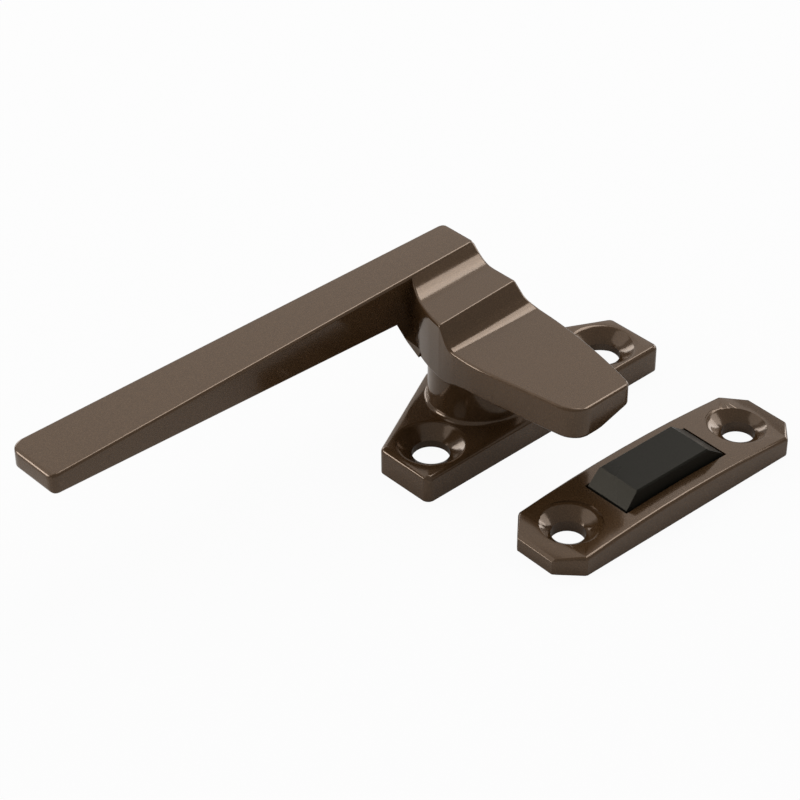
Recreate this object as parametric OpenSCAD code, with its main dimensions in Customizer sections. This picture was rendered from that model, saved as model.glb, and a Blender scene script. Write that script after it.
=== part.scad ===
// Casement window locking handle on an offset base, with its keeper.
// Units are millimetres, +Z up, away from the mounting plane.
// Origin: midway between the base's two screw holes, on the mounting plane z = 0.
// X runs along the plates and the lever, the locking tongue points to -Y over the keeper.
// Shown locked. Opening turns the handle clockwise seen from above.

/* [Base] */
// Length of the base plate
base_len = 51.6; // [44:0.1:60]
// Distance from the screw holes' line to the near edge
base_near = 6.5; // [5.5:0.05:9]
// Distance from the screw holes' line to the far edge
base_far = 14.1; // [12:0.1:20]
// Length of the straight far edge
base_far_len = 13.8; // [8:0.1:24]
// Height at which each short end turns into its slanted edge
base_end_y = 4.3; // [1:0.1:6]
// Thickness of the base plate
base_t = 4.6; // [3:0.1:8]
// Plan radius of the plate's corners
base_corner_r = 1.2; // [0.4:0.1:3]
// Rounding of the plate's top edge
base_edge_r = 0.7; // [0.2:0.1:1.2]
// Distance between the base's screw holes
base_spacing = 38.1; // [30:0.1:50]
// Diameter of the base's screw holes
base_hole_d = 6.0; // [4:0.1:7]
// Diameter of the base's countersinks at the surface
base_csk_d = 11.8; // [8:0.1:13]
// Diameter of the pockets behind the screw holes
base_pocket_d = 10.0; // [8:0.1:12]
// Depth of those pockets
base_pocket_h = 1.5; // [0.5:0.1:2]

/* [Pivot] */
// Pivot position along the base
pivot_x = -5.2; // [-10:0.1:0]
// Pivot position away from the screw holes' line
pivot_y = 4.0; // [2:0.1:8]
// Outside radius of the round boss on the base
boss_r = 7.9; // [6:0.1:8.5]
// Height of the boss's top above the mounting plane
boss_top = 12.75; // [9:0.05:16]
// Radius of the concave foot round the boss
boss_foot_r = 0.9; // [0.3:0.1:2]
// Radius of the rounded shoulder at the boss's top
boss_shoulder_r = 1.0; // [0.3:0.1:2]
// Diameter of the handle's pivot stud
stud_d = 6.0; // [4:0.1:8]
// Radial running clearance of the stud in its bore
stud_clear = 0.05; // [0.02:0.01:0.1]
// Radius of the recess under the base for the washers
recess_r = 4.9; // [4:0.1:5.5]
// Depth of that recess
recess_depth = 6.2; // [4:0.1:8]

/* [Washers] */
// Thickness of the wave spring washer's strip
wave_t = 0.35; // [0.2:0.05:0.6]
// Height of its waves from trough to crest
wave_h = 0.7; // [0.3:0.05:1.5]
// Outside radius of the wave spring washer
wave_r = 4.6; // [4:0.1:5.2]
// Thickness of the flat retaining washer
flat_t = 0.9; // [0.5:0.1:1.5]
// Outside radius of the flat retaining washer
flat_r = 4.5; // [4:0.1:5.2]
// Radius of the flared end that holds the washer on the stud
flare_r = 3.9; // [3.3:0.1:4.5]
// Height of that flared end
flare_h = 0.9; // [0.5:0.1:1.5]

/* [Handle head] */
// Height of the handle's flat top over the lever
lever_top = 24.8; // [20:0.1:30]
// Height of the middle step
land_top = 22.7; // [18:0.1:28]
// Height of the tongue's flat top
tongue_top = 19.4; // [15:0.1:25]
// Gap between the boss and the head's underside
turn_gap = 0.1; // [0.05:0.05:0.5]
// Height of the tongue's underside
tongue_under = 14.1; // [10:0.1:18]
// Where the hub's flat underside ends towards the tongue
hub_near = 2.5; // [0:0.1:4]
// Length of the rise from the hub's underside to the tongue's
hub_rise = 6.5; // [2:0.1:10]
// Turn of the crests and of the lower foot across the head, as rise over run
crest_skew = 0.055; // [0:0.005:0.1]
foot_skew = -0.03; // [-0.1:0.005:0.1]
// How far the tongue reaches beyond the screw holes' line
tongue_reach = 23.8; // [18:0.1:32]
// Position of the head's widest point on the lever side
head_left = -14.85; // [-18:0.05:-12]
// Radius of the head's curved wall on the lever side
head_curve_r = 35.3; // [20:0.1:60]
// Position of that wall's widest point away from the screw holes' line
head_curve_y = -2.5; // [-6:0.1:4]
// Radius of that wall's tighter curve towards the lever
neck_curve_r = 29; // [15:0.1:60]
// Where that tighter curve starts, away from the screw holes' line
neck_curve_y = 1; // [-2:0.1:6]
// Taper of the tongue's lever-side edge
taper_left = 8.5; // [2:0.1:14]
// Position of the head's widest point on the other side
head_right = 3.75; // [1:0.05:8]
// Radius of the head's curved wall on that side
right_curve_r = 92; // [40:1:200]
// Narrowing of the neck beside the middle step
waist = 0.85; // [0:0.1:2]
// Tip corner radius on the lever side
tip_r_left = 3.0; // [1:0.1:5]
// Tip corner radius on the other side
tip_r_right = 1.0; // [0.5:0.1:4]
// Crest of the lower step, away from the screw holes' line
crest_low = 4.25; // [1:0.05:6]
// Slope of the lower step at its steepest
slope_low = 47; // [35:1:80]
// Radius of the concave foot of the lower step
foot_low = 4.8; // [0.8:0.1:8]
// Crest of the upper step, away from the screw holes' line
crest_high = 14.4; // [12:0.1:18]
// Slope of the upper step at its steepest
slope_high = 38; // [35:1:80]
// Radius of the concave foot of the upper step
foot_high = 7; // [0.8:0.1:12]
// Radius of the inner corner between head and lever
inner_r = 0.3; // [0.3:0.1:2]
// Length of the locking ramp under the tongue's tip
ramp_len = 7.6; // [4:0.1:10]
// Rise of the locking ramp
ramp_rise = 2.1; // [0.5:0.1:3]
// How far the ramp reaches back from the tip
ramp_back = 11; // [6:0.5:16]

/* [Lever] */
// Position of the lever's free end
lever_tip_x = -81.15; // [-100:0.05:-60]
// Position of the handle's other end
lever_end_x = 3.75; // [1:0.05:8]
// Position of the lever's straight far side
lever_far = 21.5; // [18:0.1:26]
// Position of the near side at the free end
lever_near_tip = 11.0; // [8:0.1:14]
// Position of the near side at the head
lever_near_head = 14.2; // [11:0.1:17]
// Thickness of the lever at its free end
lever_t_tip = 3.3; // [2:0.1:6]
// Thickness of the lever where it meets the head
lever_t_head = 7.8; // [5:0.1:10]
// Where the lever's underside turns down into the head
drop_x = -13.5; // [-18:0.1:-11]
// Plan radius of the far corner of the free end
lever_r_far = 2.4; // [0.5:0.1:4]
// Plan radius of the near corner of the free end
lever_r_near = 1.2; // [0.4:0.1:4]
// Rounding of the handle's upper edges
edge_r = 0.5; // [0.2:0.05:1]
// Rounding of the handle's lower edges
edge_low_r = 0.35; // [0.1:0.05:0.8]

/* [Keeper] */
// Position of the keeper's centre along X
keeper_x = 1.77; // [-10:0.01:10]
// Distance of the keeper's centre line from the base's screw holes' line
keeper_y = 27.86; // [20:0.01:45]
// How far the loose keeper lies turned, in degrees
keeper_turn = -1.4; // [-5:0.1:5]
// Length of the keeper plate
keeper_len = 51; // [42:0.1:60]
// Width of the keeper plate
keeper_w = 14.8; // [12:0.1:20]
// Thickness of the keeper plate at its ends
keeper_t = 2.85; // [2:0.1:5]
// Extra thickness at its middle from the arched top
keeper_crown = 1.5; // [0:0.05:2]
// Size of the keeper's corner cuts
keeper_cut = 3.65; // [1:0.1:5]
// Rounding of the keeper's top edge
keeper_edge_r = 0.55; // [0.2:0.05:1]
// Distance between the keeper's screw holes
keeper_spacing = 37.1; // [30:0.1:45]
// Diameter of the keeper's screw holes
keeper_hole_d = 5.4; // [4:0.1:6.5]
// Diameter of the keeper's countersinks
keeper_csk_d = 10.6; // [7:0.1:11]
// Length of the window for the insert
window_len = 21.8; // [16:0.1:28]
// Width of the window for the insert
window_w = 8.9; // [6:0.1:11]

/* [Insert] */
// Gap between the insert and the window's edge
insert_gap = 0.4; // [0.05:0.05:0.6]
// Height of the insert's flat top above the keeper's back
insert_top = 6.75; // [5:0.05:10]
// Length of the insert's flat top
insert_flat = 15.2; // [10:0.1:20]
// Width of the insert's flat top
insert_top_w = 7.9; // [5:0.1:10]
// How far the flat top lies from the insert's middle
insert_shift = -0.65; // [-2:0.05:2]
// Thickness of the flange held under the plate
flange_t = 1.2; // [0.6:0.1:2]
// How far the flange reaches under the plate
flange_lip = 1.1; // [0.6:0.1:2]

/* [Hidden] */
$fn = 72;
funnel_slope = 36;
lip_r = 1.5;
throat_step = 0.4;
bore_r = stud_d / 2 + stud_clear;
wave_low = recess_depth - wave_h - wave_t - 0.04;
flat_top_z = wave_low - 0.04;
flat_low = flat_top_z - flat_t;
head_under = boss_top + turn_gap;
head_mid_x = head_left + head_curve_r;
neck_turn = asin((neck_curve_y - head_curve_y) / head_curve_r);
neck_mid_x = head_mid_x - (head_curve_r - neck_curve_r) * cos(neck_turn);
neck_mid_y = head_curve_y + (head_curve_r - neck_curve_r) * sin(neck_turn);
taper_y = head_curve_y - head_curve_r * sin(taper_left);
lever_slope = (lever_near_head - lever_near_tip) / (lever_end_x - lever_tip_x);

// Outline of the base plate, taken in by d all round.
module base_outline(d = 0) {
    offset(r = base_corner_r - d, $fn = 40)
        offset(delta = -base_corner_r)
            polygon([
                [-base_len / 2, -base_near], [base_len / 2, -base_near],
                [base_len / 2, base_end_y], [base_far_len / 2, base_far],
                [-base_far_len / 2, base_far], [-base_len / 2, base_end_y]
            ]);
}

// Screw hole with its funnel and rounded lip, cut from a plate whose surface is at height t.
module screw_cut(t, hole_d, csk_d) {
    r = csk_d / 2;
    throat = hole_d / 2 + throat_step;
    lip = [for (i = [0 : 6]) let (a = funnel_slope * i / 6) [r - lip_r * sin(a), t - lip_r * (1 - cos(a))]];
    throat_z = lip[6][1] - (lip[6][0] - throat) * tan(funnel_slope);
    translate([0, 0, -1])
        cylinder(d = hole_d, h = t + 2);
    rotate_extrude()
        polygon(concat(
            [[0, t + 1], [r, t + 1]], lip,
            [[throat, throat_z], [hole_d / 2, throat_z - throat_step], [0, throat_z - throat_step]]
        ));
}

// Half section of the boss: straight wall, concave foot, rounded shoulder.
module boss_section() {
    foot = boss_foot_r;
    sh = boss_shoulder_r;
    low = base_t - 0.06;
    difference() {
        square([boss_r + foot, boss_top]);
        translate([boss_r, low + foot])
            square([foot + 1, boss_top]);
        translate([boss_r + foot, low + foot])
            circle(r = foot, $fn = 96);
        translate([boss_r - sh, boss_top - sh])
            difference() {
                square([sh + 1, sh + 1]);
                circle(r = sh, $fn = 96);
            }
    }
}

module base() {
    color([0.2, 0.16, 0.13])
        difference() {
            union() {
                hull()
                    for (i = [0 : 4])
                        let (a = 90 * i / 4)
                        linear_extrude(base_t - base_edge_r * (1 - sin(a)))
                            base_outline(base_edge_r * (1 - cos(a)));
                translate([pivot_x, pivot_y, 0.5])
                    rotate_extrude()
                        translate([0, -0.5])
                            intersection() {
                                boss_section();
                                translate([0, 0.5])
                                    square([30, 30]);
                            }
            }
            for (s = [-1, 1])
                translate([s * base_spacing / 2, 0, 0]) {
                    screw_cut(base_t, base_hole_d, base_csk_d);
                    translate([0, 0, -1])
                        cylinder(d = base_pocket_d, h = base_pocket_h + 1);
                }
            translate([pivot_x, pivot_y, -1])
                cylinder(r = bore_r, h = boss_top + 2);
            translate([pivot_x, pivot_y, -1])
                cylinder(r = recess_r, h = recess_depth + 1);
        }
}

// Rectangle from (u0, z0) to (u1, z1) with rounded upper (rt) and lower (rb) corners.
function rounded(u0, u1, z0, z1, rt, rb) =
    let (
        quarter = function(u, z, r, a0)
            [for (a = [a0 : 22.5 : a0 + 90]) [u + r * cos(a), z + r * sin(a)]]
    )
    concat(
        quarter(u0 + rb, z0 + rb, rb, 180), quarter(u1 - rb, z0 + rb, rb, 270),
        quarter(u1 - rt, z1 - rt, rt, 0), quarter(u0 + rt, z1 - rt, rt, 90)
    );

// How far a corner of radius r pulls its side in at distance d from the end.
function pull(d, r) = d < r ? r - sqrt(r * r - pow(r - d, 2)) : 0;

// Solid through a row of rings that all have the same number of points.
module loft(rings) {
    n = len(rings);
    m = len(rings[0]);
    sides = [for (i = [0 : n - 2]) for (k = [0 : m - 1])
        let (a = i * m + k, b = i * m + (k + 1) % m)
        each [[a, a + m, b], [b, a + m, b + m]]];
    caps = [[for (k = [0 : m - 1]) k], [for (k = [m - 1 : -1 : 0]) (n - 1) * m + k]];
    polyhedron([for (ring = rings) each ring], concat(sides, caps));
}

// Rise from height z0 to height z1 with its crest at y1: concave foot, slope, rounded crest.
function step_points(y1, z1, z0, slope, foot) =
    let (
        cr = 0.5,
        cy = y1 + cr * tan(slope / 2),
        drop = z1 - z0 - (cr + foot) * (1 - cos(slope)),
        fy = cy - (cr + foot) * sin(slope) - drop / tan(slope)
    )
    concat(
        [for (i = [0 : 8]) let (t = slope * i / 8) [fy + foot * sin(t), z0 + foot - foot * cos(t)]],
        [for (i = [4 : -1 : 0]) let (t = slope * i / 4) [cy - cr * sin(t), z1 - cr + cr * cos(t)]]
    );

// Near side of the lever at position x.
function lever_near(x) = lever_near_tip + (x - lever_tip_x) * lever_slope;

// Left and right walls of the head at y.
function head_wall_left(y) =
    let (corner_y = lever_near(head_left + 4) - inner_r, into = min(y - corner_y, inner_r))
    (y > neck_curve_y
        ? neck_mid_x - sqrt(pow(neck_curve_r, 2) - pow(y - neck_mid_y, 2))
        : y > taper_y
        ? head_mid_x - sqrt(pow(head_curve_r, 2) - pow(y - head_curve_y, 2))
        : head_mid_x - head_curve_r * cos(taper_left) + (taper_y - y) * tan(taper_left))
    + pull(y + tongue_reach, tip_r_left)
    - (into > 0 ? inner_r - sqrt(inner_r * inner_r - into * into) : 0);
function ease(t) = t <= 0 ? 0 : t >= 1 ? 1 : 0.5 - 0.5 * cos(180 * t);
function head_wall_right(y) =
    head_right - pow(min(y - crest_low, 0), 2) / (2 * right_curve_r)
    - waist * ease((y - crest_low + 4.7) / 4.4) * ease((crest_high + 0.6 - y) / 6.5)
    - pull(y + tongue_reach, tip_r_right);

// Head and tongue: rounded sections along Y, over the stepped top.
module head() {
    low = step_points(crest_low, land_top, tongue_top, slope_low, foot_low);
    high = step_points(crest_high, lever_top - 0.15, land_top, slope_high, foot_high);
    top = concat(
        [for (d = [0, 0.04, 0.12, 0.25, 0.5, 0.8, 1.2, 1.7, 2.3, 3])
            [d - tongue_reach, tongue_top - pull(d, edge_r)]],
        [for (y = [-19 : 2.4 : -6.5]) [y, tongue_top]],
        [for (y = [-5.6, -4.6, -3.4]) [y, tongue_top]],
        low,
        [for (y = [crest_low + 2.4 : 1 : high[0][0] - 0.4]) [y, land_top]],
        [for (p = high) if (p[0] < crest_high) p],
        [for (y = [crest_high + 0.9, crest_high + 2.5, crest_high + 4, lever_far - 1.8]) [y, lever_top - 1.2]]
    );
    under = function(y)
        lookup(y, [
            [-tongue_reach, tongue_under + edge_low_r], [-tongue_reach + 0.12, tongue_under + 0.1],
            [-tongue_reach + 0.5, tongue_under]
        ]) - (tongue_under - head_under) * ease(1 - (hub_near - y) / hub_rise);
    skew = function(y) lookup(y, [
        [-12, 0], [low[0][0], foot_skew], [crest_low, crest_skew], [crest_high, crest_skew - 0.01]
    ]);
    loft([for (p = top)
        let (
            across = head_left - head_right,
            left = head_wall_left(p[0] + skew(p[0]) * across),
            ring = rounded(left, head_wall_right(p[0]), under(p[0]), p[1], edge_r, edge_low_r)
        )
        [for (k = [len(ring) - 1 : -1 : 0])
            [ring[k][0], p[0] + skew(p[0]) * (ring[k][0] - head_right), ring[k][1]]]]);
}

// Lever: rounded sections along X, thin free end, deep where it meets the head.
module lever() {
    deep = lever_top - lever_t_head;
    under = function(x) lookup(x, [[lever_tip_x, lever_top - lever_t_tip], [drop_x, deep]]);
    xs = concat(
        [for (d = [0, 0.05, 0.15, 0.3, 0.5, 0.8, 1.2, 1.7, 2.4]) lever_tip_x + d],
        [drop_x - 10, drop_x],
        [for (d = [1.2, 0.8, 0.5, 0.25, 0.1, 0]) lever_end_x - d]
    );
    loft([for (x = xs)
        let (
            a = x - lever_tip_x, b = lever_end_x - x,
            end = pull(a, 0.7) + pull(b, edge_r),
            y0 = lever_near(x) + pull(a, lever_r_near) + pull(b, 0.7),
            y1 = lever_far - pull(a, lever_r_far) - pull(b, 1.2)
        )
        [for (q = rounded(y0, y1, under(x) + end, lever_top - end, edge_r, edge_low_r)) [x, q[0], q[1]]]]);
}

// Sloped web that carries the lever's underside down into the head.
module web() {
    deep = lever_top - lever_t_head;
    back = lever_far - 1.8;
    near = lever_near(drop_x) + 0.05;
    hull()
        for (y = [near, back])
            translate([0.54 * (y - near), y, 0])
                rotate([90, 0, 0])
                    linear_extrude(0.02)
                        polygon([
                            [drop_x, deep + 0.3], [drop_x, deep], [drop_x + 2.1, head_under],
                            [drop_x + 5.2, head_under], [drop_x + 5.2, deep + 0.3]
                        ]);
    // fairing that blends the web's foot into the head's wall
    fair_y = near - 4.2;
    wall = head_wall_left(fair_y);
    hull() {
        translate([0, near, head_under])
            rotate([90, 0, 0])
                linear_extrude(0.02)
                    polygon([
                        [drop_x + 3.1, 2.5], [drop_x + 1.45, 1.25], [drop_x + 2.1, 0],
                        [drop_x + 4, 0], [drop_x + 4, 2.5]
                    ]);
        translate([wall, fair_y, head_under])
            rotate([90, 0, 0])
                linear_extrude(0.02)
                    polygon([[0.04, 1.3], [-0.36, 0], [1, 0], [1, 1.3]]);
    }
}

module handle() {
    tip_right_x = head_wall_right(-tongue_reach + tip_r_right);
    color([0.22, 0.18, 0.15])
        difference() {
            union() {
                head();
                lever();
                web();
                translate([pivot_x, pivot_y, flat_low - 0.4])
                    cylinder(d = stud_d, h = head_under + 1 - flat_low + 0.4);
                translate([pivot_x, pivot_y, flat_low - flare_h])
                    cylinder(r1 = flare_r - 0.5, r2 = flare_r, h = flare_h * 0.5);
                translate([pivot_x, pivot_y, flat_low - flare_h * 0.5])
                    cylinder(r = flare_r, h = flare_h * 0.5);
            }
            // locking ramp under the tip
            translate([tip_right_x, 0, tongue_under])
                rotate([90, 0, 0])
                    translate([0, 0, tongue_reach - ramp_back])
                        linear_extrude(ramp_back + 2)
                            polygon([
                                [-ramp_len, 0], [3, ramp_rise * (ramp_len + 3) / ramp_len],
                                [3, -2], [-ramp_len, -2]
                            ]);
        }
}

// Wavy ring that keeps the handle where it is put: three waves round the stud.
module wave_washer() {
    n = 72;
    r_in = stud_d / 2 + 0.35;
    function wave_z(a) = wave_low + wave_h / 2 + wave_h / 2 * cos(3 * a);
    function ring_point(i, k) =
        let (a = 360 * i / n, r = (k == 0 || k == 3) ? r_in : wave_r, up = k < 2 ? 0 : wave_t)
        [r * cos(a), r * sin(a), wave_z(a) + up];
    points = [for (i = [0 : n - 1]) for (k = [0 : 3]) ring_point(i, k)];
    faces = [for (i = [0 : n - 1]) for (k = [0 : 3])
        let (a = 4 * i + k, b = 4 * i + (k + 1) % 4, j = (i + 1) % n)
        each [[a, 4 * j + k, b], [b, 4 * j + k, 4 * j + (k + 1) % 4]]];
    color([0.5, 0.5, 0.52])
        translate([pivot_x, pivot_y, 0])
            polyhedron(points, faces);
}

module flat_washer() {
    color([0.6, 0.6, 0.62])
        translate([pivot_x, pivot_y, flat_low])
            difference() {
                cylinder(r = flat_r, h = flat_t);
                translate([0, 0, -1])
                    cylinder(d = stud_d, h = flat_t + 2);
            }
}

// Outline of the keeper plate with its four cut corners, taken in by d all round.
module keeper_outline(d = 0) {
    l = keeper_len / 2;
    w = keeper_w / 2;
    c = keeper_cut;
    offset(r = 0.5 - d, $fn = 24)
        offset(delta = -0.5)
            polygon([
                [-l + c, -w], [l - c, -w], [l, -w + c], [l, w - c],
                [l - c, w], [-l + c, w], [-l, w - c], [-l, -w + c]
            ]);
}

// Height of the arched top at distance x from the keeper's middle.
function keeper_z(x) = keeper_t + keeper_crown * (1 - pow(2 * x / keeper_len, 2));

// Slice of the keeper's outline at x, as tall as the arch there, with rounded top edges.
module keeper_slice(x) {
    intersection() {
        union()
            for (i = [0 : 3])
                let (a = 30 * i)
                linear_extrude(keeper_z(x) - keeper_edge_r * (1 - sin(a)))
                    keeper_outline(keeper_edge_r * (1 - cos(a)));
        translate([x - 0.01, -keeper_w, -1])
            cube([0.02, 2 * keeper_w, 20]);
    }
}

module keeper_plate() {
    window_lip = flange_lip + 0.3;
    end = keeper_len / 2;
    turn = end - keeper_cut;
    color([0.24, 0.19, 0.15])
        translate([keeper_x, -keeper_y, 0])
        rotate(keeper_turn)
            difference() {
                hull()
                    for (s = [-1, 1])
                        for (x = [0, 5.5, 11, 16.5, turn - 0.2, turn + 0.2, end - 0.5, end - 0.02])
                            keeper_slice(s * x);
                for (s = [-1, 1])
                    translate([s * keeper_spacing / 2, 0, 0])
                        screw_cut(keeper_z(keeper_spacing / 2), keeper_hole_d, keeper_csk_d);
                translate([-window_len / 2, -window_w / 2, -1])
                    cube([window_len, window_w, 20]);
                translate([-window_len / 2 - window_lip, -window_w / 2 - window_lip, -1])
                    cube([window_len + 2 * window_lip, window_w + 2 * window_lip, flange_t + 0.1 + 1]);
            }
}

// Black insert: flange under the plate, block through the window, a ramp at each end.
module keeper_insert() {
    bl = window_len - 2 * insert_gap;
    bw = window_w - 2 * insert_gap;
    ramp_z = keeper_t + keeper_crown - 0.2;
    color([0.1, 0.1, 0.1])
        translate([keeper_x, -keeper_y, 0])
        rotate(keeper_turn) {
            translate([-window_len / 2 - flange_lip, -window_w / 2 - flange_lip, 0.1])
                cube([window_len + 2 * flange_lip, window_w + 2 * flange_lip, flange_t - 0.1]);
            hull() {
                translate([-bl / 2, -bw / 2, 0.1])
                    cube([bl, bw, ramp_z - 0.1]);
                translate([insert_shift - insert_flat / 2 - 0.15, -insert_top_w / 2, 0.1])
                    cube([insert_flat + 0.3, insert_top_w, insert_top - 0.1 - 0.2]);
                translate([insert_shift - insert_flat / 2, -insert_top_w / 2 + 0.2, 0.1])
                    cube([insert_flat, insert_top_w - 0.4, insert_top - 0.1]);
            }
        }
}

base();
handle();
wave_washer();
flat_washer();
keeper_plate();
keeper_insert();
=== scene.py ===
import bpy
import numpy as np
from mathutils import Matrix, Vector

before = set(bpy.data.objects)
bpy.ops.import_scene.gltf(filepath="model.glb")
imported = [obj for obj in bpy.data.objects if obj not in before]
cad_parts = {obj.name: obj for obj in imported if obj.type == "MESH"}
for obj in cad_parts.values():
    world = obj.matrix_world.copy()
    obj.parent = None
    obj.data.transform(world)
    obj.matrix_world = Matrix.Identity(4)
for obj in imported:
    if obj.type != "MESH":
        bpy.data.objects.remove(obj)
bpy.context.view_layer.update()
print("frame loaded:", sorted(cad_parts))

cameraSetup = {
    "place": (-0.234872, -0.228476, 0.246042),  # where the photograph was taken from, metres
    "azimuth": -42.504,                         # degrees, 0 looks along +Y
    "elevation": 36.578,
    "roll": -0.355,
    "lens": 115.66,                             # mm
    "film": 36.0,                               # mm, width of the square picture
    "nearAndFar": (0.01, 30.0),                 # metres
}


def makeCamera(setup):
    az, el, roll = np.radians([setup["azimuth"], setup["elevation"], setup["roll"]])
    back = Vector((np.sin(az) * np.cos(el), -np.cos(az) * np.cos(el), np.sin(el)))
    side = Vector((np.cos(az), np.sin(az), 0.0))
    up = back.cross(side)
    sideRolled = side * np.cos(roll) + up * np.sin(roll)
    upRolled = up * np.cos(roll) - side * np.sin(roll)
    data = bpy.data.cameras.new("photoCamera")
    data.lens, data.sensor_width, data.sensor_fit = setup["lens"], setup["film"], "HORIZONTAL"
    data.clip_start, data.clip_end = setup["nearAndFar"]
    camera = bpy.data.objects.new("photoCamera", data)
    turn = Matrix((sideRolled, upRolled, back)).transposed().to_4x4()
    camera.matrix_world = Matrix.Translation(setup["place"]) @ turn
    bpy.context.scene.collection.objects.link(camera)
    bpy.context.scene.camera = camera


def newMaterial(name):
    material = bpy.data.materials.new(name)
    material.use_nodes = True
    tree = material.node_tree
    tree.nodes.clear()
    out = tree.nodes.new("ShaderNodeOutputMaterial")
    return material, tree, out


roomSetup = {
    "floorColor": (0.66, 0.66, 0.66),
    "floorHalf": 6.0,       # metres from the middle to each side
    "floorDrop": 0.0002,    # the floor lies this far under the object
    "eyeLift": 0.95,        # share of plain white that the eye gets from the floor
    "glossLift": 0.10,      # and the share that reflections get
    "worldColor": (0.80, 0.80, 0.80),
    "worldLevel": 0.42,
}


def makeFloor(setup):
    half, low = setup["floorHalf"], -setup["floorDrop"]
    mesh = bpy.data.meshes.new("studioFloor")
    mesh.from_pydata([(-half, -half, low), (half, -half, low), (half, half, low), (-half, half, low)],
                     [], [(0, 1, 2, 3)])
    floor = bpy.data.objects.new("studioFloor", mesh)
    bpy.context.scene.collection.objects.link(floor)
    material, tree, out = newMaterial("paleFloor")
    nodes, links = tree.nodes, tree.links
    lit = nodes.new("ShaderNodeBsdfDiffuse")
    lit.inputs["Color"].default_value = (*setup["floorColor"], 1)
    plain = nodes.new("ShaderNodeEmission")
    plain.inputs["Color"].default_value = (1, 1, 1, 1)
    plain.inputs["Strength"].default_value = 1.0
    rays = nodes.new("ShaderNodeLightPath")
    eye = nodes.new("ShaderNodeMath"); eye.operation = "MULTIPLY"
    eye.inputs[1].default_value = setup["eyeLift"]
    gloss = nodes.new("ShaderNodeMath"); gloss.operation = "MULTIPLY"
    gloss.inputs[1].default_value = setup["glossLift"]
    seen = nodes.new("ShaderNodeMath"); seen.operation = "MAXIMUM"
    share = nodes.new("ShaderNodeMath"); share.operation = "MAXIMUM"
    mix = nodes.new("ShaderNodeMixShader")
    links.new(rays.outputs["Is Camera Ray"], eye.inputs[0])
    links.new(rays.outputs["Is Glossy Ray"], gloss.inputs[0])
    links.new(eye.outputs[0], seen.inputs[0])
    links.new(gloss.outputs[0], seen.inputs[1])
    links.new(seen.outputs[0], share.inputs[0])
    links.new(rays.outputs["Is Transmission Ray"], share.inputs[1])
    links.new(share.outputs[0], mix.inputs[0])
    links.new(lit.outputs[0], mix.inputs[1])
    links.new(plain.outputs[0], mix.inputs[2])
    links.new(mix.outputs[0], out.inputs["Surface"])
    mesh.materials.append(material)


def makeWorld(setup):
    world = bpy.data.worlds.new("studioWorld")
    world.use_nodes = True
    nodes, links = world.node_tree.nodes, world.node_tree.links
    nodes.clear()
    out = nodes.new("ShaderNodeOutputWorld")
    soft = nodes.new("ShaderNodeBackground")
    soft.inputs["Color"].default_value = (*setup["worldColor"], 1)
    soft.inputs["Strength"].default_value = setup["worldLevel"]
    plain = nodes.new("ShaderNodeBackground")  # plain white for the eye only
    plain.inputs["Color"].default_value = (1, 1, 1, 1)
    plain.inputs["Strength"].default_value = 1.0
    rays = nodes.new("ShaderNodeLightPath")
    mix = nodes.new("ShaderNodeMixShader")
    links.new(rays.outputs["Is Camera Ray"], mix.inputs[0])
    links.new(soft.outputs[0], mix.inputs[1])
    links.new(plain.outputs[0], mix.inputs[2])
    links.new(mix.outputs[0], out.inputs["Surface"])
    bpy.context.scene.world = world


# soft panels round the object: direction from it, width and height in metres, power in watts
lightPanels = {
    "topPanel": {"towards": (0.46, 0.64, 0.61), "size": (0.90, 0.90), "power": 1.5},
    "keyPanel": {"towards": (0.54, 0.15, 0.83), "size": (0.46, 0.42), "power": 2.3},
    "rightPanel": {"towards": (0.84, -0.22, 0.50), "size": (0.40, 0.40), "power": 1.0},
    "backPanel": {"towards": (-0.32, 0.56, 0.77), "size": (0.60, 0.60), "power": 0.8},
    "leftPanel": {"towards": (-0.73, 0.59, 0.34), "size": (0.40, 0.40), "power": 3.4},
    "lowRight": {"towards": (0.95, 0.12, 0.22), "size": (0.50, 0.36), "power": 1.9},
    "lowBack": {"towards": (0.10, 0.95, 0.20), "size": (0.46, 0.32), "power": 1.5},
}
lightAim = {"middle": (-0.01, 0.0, 0.01), "distance": 1.0}  # metres


def makeLights(panels, aim):
    for name, panel in panels.items():
        towards = Vector(panel["towards"]).normalized()
        data = bpy.data.lights.new(name, "AREA")
        data.shape, data.energy = "RECTANGLE", panel["power"]
        data.size, data.size_y = panel["size"]
        lamp = bpy.data.objects.new(name, data)
        lamp.location = Vector(aim["middle"]) + towards * aim["distance"]
        lamp.rotation_mode = "QUATERNION"
        lamp.rotation_quaternion = (-towards).to_track_quat("-Z", "Y")
        bpy.context.scene.collection.objects.link(lamp)


grainSetup = {
    "details": (2.0, 1.0, 3.0),      # grain, peel, cloud
    "cloudScale": 90.0,
    "peelShare": 0.5,                # of the height, the rest is grain
    "colorStops": (0.36, 0.52, 0.74),
    "depth": 0.00005,                # metres of height behind the bump
}


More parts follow.
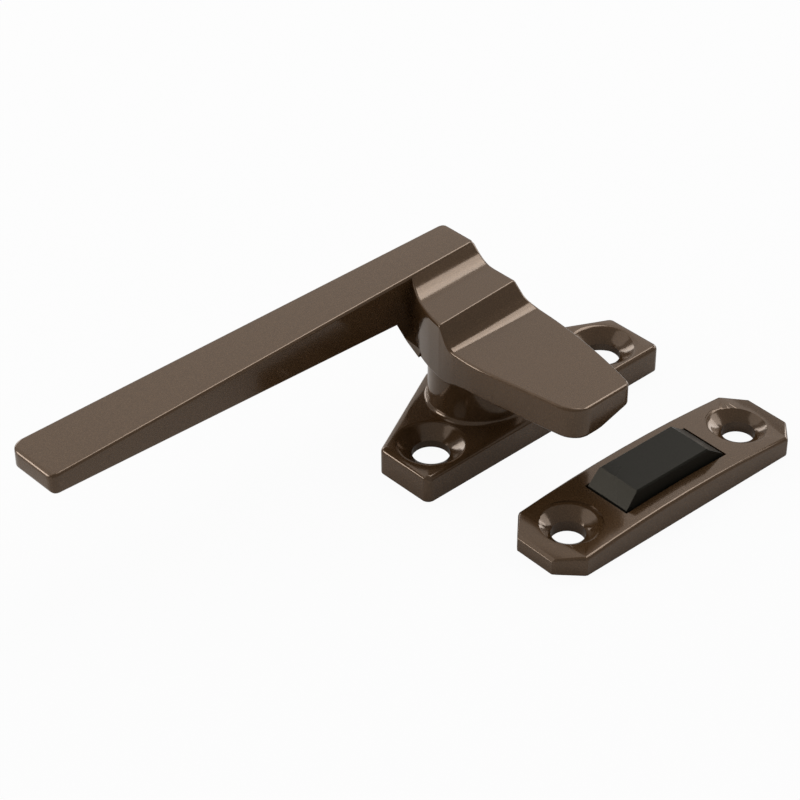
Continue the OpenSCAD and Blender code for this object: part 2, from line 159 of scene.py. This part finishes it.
def fineGrainGroup(setup):
    # speckle and orange-peel height shared by the painted castings, the nylon and the steel
    group = bpy.data.node_groups.new("fineGrain", "ShaderNodeTree")
    face = group.interface
    face.new_socket("Point", in_out="INPUT", socket_type="NodeSocketVector")
    for name, value in (("Grain Scale", 9000.0), ("Peel Scale", 900.0), ("Peel Share", setup["peelShare"])):
        face.new_socket(name, in_out="INPUT", socket_type="NodeSocketFloat").default_value = value
    for name in ("Height", "Speckle", "Cloud"):
        face.new_socket(name, in_out="OUTPUT", socket_type="NodeSocketFloat")
    nodes, links = group.nodes, group.links
    start, end = nodes.new("NodeGroupInput"), nodes.new("NodeGroupOutput")
    grain, peel, cloud = [nodes.new("ShaderNodeTexNoise") for _ in range(3)]
    for texture, detail in zip((grain, peel, cloud), setup["details"]):
        texture.inputs["Detail"].default_value = detail
        links.new(start.outputs["Point"], texture.inputs["Vector"])
    cloud.inputs["Scale"].default_value = setup["cloudScale"]
    blend = nodes.new("ShaderNodeMix"); blend.data_type = "FLOAT"
    links.new(start.outputs["Grain Scale"], grain.inputs["Scale"])
    links.new(start.outputs["Peel Scale"], peel.inputs["Scale"])
    links.new(start.outputs["Peel Share"], blend.inputs[0])
    links.new(grain.outputs["Fac"], blend.inputs[2])
    links.new(peel.outputs["Fac"], blend.inputs[3])
    links.new(blend.outputs[0], end.inputs["Height"])
    links.new(grain.outputs["Fac"], end.inputs["Speckle"])
    links.new(cloud.outputs["Fac"], end.inputs["Cloud"])
    return group


# each finish: three colours over the speckle, how far roughness swings with the cloud,
# grain and peel scales; lacquer is weight and roughness, gloss is specular level and tint
paintFinish = {
    "colors": ((0.068, 0.034, 0.013), (0.088, 0.046, 0.019), (0.132, 0.074, 0.036)),
    "metallic": 0.32,
    "roughness": 0.15,
    "swing": 0.03,
    "bump": 0.09,
    "scales": (7000.0, 1100.0),
    "lacquer": (0.15, 0.04),
    "gloss": (0.82, (1.0, 0.90, 0.79)),
}

nylonFinish = {
    "colors": ((0.016, 0.015, 0.012), (0.016, 0.015, 0.012), (0.022, 0.020, 0.016)),
    "metallic": 0.0,
    "roughness": 0.28,
    "swing": 0.05,
    "bump": 0.12,
    "scales": (7000.0, 1400.0),
    "gloss": (0.13, (1.0, 0.90, 0.72)),
}


def steelFinish(color):
    shades = tuple(tuple(c * k for c in color) for k in (0.9, 1.0, 1.1))
    return {"colors": shades, "metallic": 1.0, "roughness": 0.35, "swing": 0.06, "bump": 0.1,
            "scales": (12000.0, 2500.0)}


def grainedMaterial(name, group, finish):
    material, tree, out = newMaterial(name)
    nodes, links = tree.nodes, tree.links
    point = nodes.new("ShaderNodeTexCoord")
    grain = nodes.new("ShaderNodeGroup"); grain.node_tree = group
    grain.inputs["Grain Scale"].default_value, grain.inputs["Peel Scale"].default_value = finish["scales"]
    ramp = nodes.new("ShaderNodeValToRGB")
    dark, middle, light = finish["colors"]
    low, half, high = grainSetup["colorStops"]
    stops = ramp.color_ramp.elements
    stops[0].position, stops[0].color = low, (*dark, 1)
    stops[1].position, stops[1].color = high, (*light, 1)
    stops.new(half).color = (*middle, 1)
    rough = nodes.new("ShaderNodeMapRange")
    rough.inputs["To Min"].default_value = finish["roughness"] - finish["swing"]
    rough.inputs["To Max"].default_value = finish["roughness"] + finish["swing"]
    bump = nodes.new("ShaderNodeBump")
    bump.inputs["Strength"].default_value = finish["bump"]
    bump.inputs["Distance"].default_value = grainSetup["depth"]
    skin = nodes.new("ShaderNodeBsdfPrincipled")
    skin.inputs["Metallic"].default_value = finish["metallic"]
    if "lacquer" in finish:
        skin.inputs["Coat Weight"].default_value, skin.inputs["Coat Roughness"].default_value = finish["lacquer"]
    if "gloss" in finish:
        level, tint = finish["gloss"]
        skin.inputs["Specular IOR Level"].default_value = level
        skin.inputs["Specular Tint"].default_value = (*tint, 1)
    links.new(point.outputs["Object"], grain.inputs["Point"])
    links.new(grain.outputs["Speckle"], ramp.inputs["Fac"])
    links.new(ramp.outputs["Color"], skin.inputs["Base Color"])
    links.new(grain.outputs["Cloud"], rough.inputs["Value"])
    links.new(rough.outputs[0], skin.inputs["Roughness"])
    links.new(grain.outputs["Height"], bump.inputs["Height"])
    links.new(bump.outputs[0], skin.inputs["Normal"])
    links.new(skin.outputs[0], out.inputs["Surface"])
    return material


shadingSetup = {
    "weldGap": 0.000002,      # metres
    "creaseAngle": 32.0,      # degrees, sharper edges stay sharp
    "flatWeight": 80,         # keeps the large flat faces flat beside rounded edges
    "flatThreshold": 0.02,
}


def smoothNode(node, material, setup):
    # smooth shading across the casting's small facets
    mesh = node.data
    mesh.materials.clear()
    mesh.materials.append(material)
    mesh.polygons.foreach_set("use_smooth", np.ones(len(mesh.polygons), bool))
    weld = node.modifiers.new("weld", "WELD")
    weld.merge_threshold = setup["weldGap"]
    split = node.modifiers.new("creases", "EDGE_SPLIT")
    split.split_angle = np.radians(setup["creaseAngle"])
    even = node.modifiers.new("evenFaces", "WEIGHTED_NORMAL")
    even.mode, even.weight, even.thresh = "FACE_AREA_WITH_ANGLE", setup["flatWeight"], setup["flatThreshold"]


makeCamera(cameraSetup)
makeFloor(roomSetup)
makeWorld(roomSetup)
makeLights(lightPanels, lightAim)
print("camera, floor and lights made")

grainGroup = fineGrainGroup(grainSetup)
bronzePaint = grainedMaterial("bronzePaint", grainGroup, paintFinish)
blackNylon = grainedMaterial("blackNylon", grainGroup, nylonFinish)
flatSteel = grainedMaterial("flatSteel", grainGroup, steelFinish((0.55, 0.55, 0.56)))
springSteel = grainedMaterial("springSteel", grainGroup, steelFinish((0.42, 0.42, 0.44)))
print("finishes made")

pieceFinish = {
    "base": bronzePaint,
    "handle": bronzePaint,
    "keeper_plate": bronzePaint,
    "keeper_insert": blackNylon,
    "flat_washer": flatSteel,
    "wave_washer": springSteel,
}
for name, material in pieceFinish.items():
    smoothNode(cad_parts[name], material, shadingSetup)
print("nodes dressed")

bpy.context.scene.view_settings.view_transform = "Standard"
